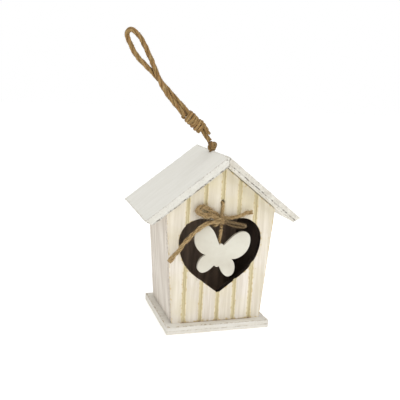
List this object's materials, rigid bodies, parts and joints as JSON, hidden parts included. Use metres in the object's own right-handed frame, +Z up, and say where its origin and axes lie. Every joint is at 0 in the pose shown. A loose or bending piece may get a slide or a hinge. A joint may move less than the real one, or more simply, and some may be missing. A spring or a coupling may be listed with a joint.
{
  "type": "birdhouse",
  "caption": "Small painted plywood birdhouse with a heart shaped opening, a butterfly hanging on bow-tied twine, and a jute rope hanger.",
  "frame": {"origin": "on the ground under the middle of the roof", "axes": "+X along the front to the viewer's right, +Y from the front to the back, +Z up"},
  "size_m": [0.1105, 0.068, 0.1861],
  "materials": {
    "white_paint": "matt white paint on plywood, worn at the edges",
    "plank_paint": "cream wash on grooved plywood, matt, with streaks along the grain",
    "pinkish_paint": "thin off-white wash with grain showing through, matt",
    "butterfly_paint": "flat off-white paint",
    "jute": "natural twisted jute, fuzzy",
    "steel": "dull wire, filled and painted over"
  },
  "bodies": {
    "house": {"base_board": "white_paint", "front_panel": "plank_paint", "back_panel": "pinkish_paint", "left_side_panel": "pinkish_paint", "right_side_panel": "pinkish_paint", "left_roof_panel": "white_paint", "right_roof_panel": "white_paint", "base_pins": "steel", "front_panel_pins": "steel", "back_panel_pins": "steel", "left_roof_pins": "steel", "right_roof_pins": "steel", "binding_twine": "jute", "bow_knot": "jute", "bow_left_loop": "jute", "bow_left_tail": "jute", "bow_right_loop": "jute", "bow_right_tail": "jute", "hanger_stop_knot": "jute", "hanger_ridge_strand": "jute"},
    "twine_hitch": {"twine_hitch": "jute"},
    "butterfly_twine": {"butterfly_twine": "jute"},
    "butterfly": {"butterfly": "butterfly_paint"},
    "ridge_knot": {"ridge_knot": "jute"},
    "hanger": {"hanger_neck": "jute", "hanger_wraps": "jute", "hanger_loop": "jute", "hanger_tag_end": "jute"}
  },
  "joints": [
    {"name": "butterfly_swing", "type": "hinge", "parent": "house", "child": "twine_hitch", "pos_m": [-0.00055, -0.0277, 0.0679], "axis": [1, 0, 0], "range_deg": [-15, 15]},
    {"name": "butterfly_sway", "type": "hinge", "parent": "twine_hitch", "child": "butterfly_twine", "pos_m": [-0.00055, -0.0277, 0.0679], "axis": [0, 1, 0], "range_deg": [-5, 5]},
    {"name": "butterfly_twist", "type": "hinge", "parent": "butterfly_twine", "child": "butterfly", "pos_m": [-0.0006, -0.02553, 0.053], "axis": [0, 0, 1], "range_deg": [-40, 2]},
    {"name": "hanger_swing", "type": "hinge", "parent": "house", "child": "ridge_knot", "pos_m": [0, 0, 0.11563], "axis": [0, 1, 0], "range_deg": [-60, 132]},
    {"name": "hanger_tilt", "type": "hinge", "parent": "ridge_knot", "child": "hanger", "pos_m": [0, 0, 0.11563], "axis": [0.766, 0, 0.6428], "range_deg": [-60, 60]}
  ]
}
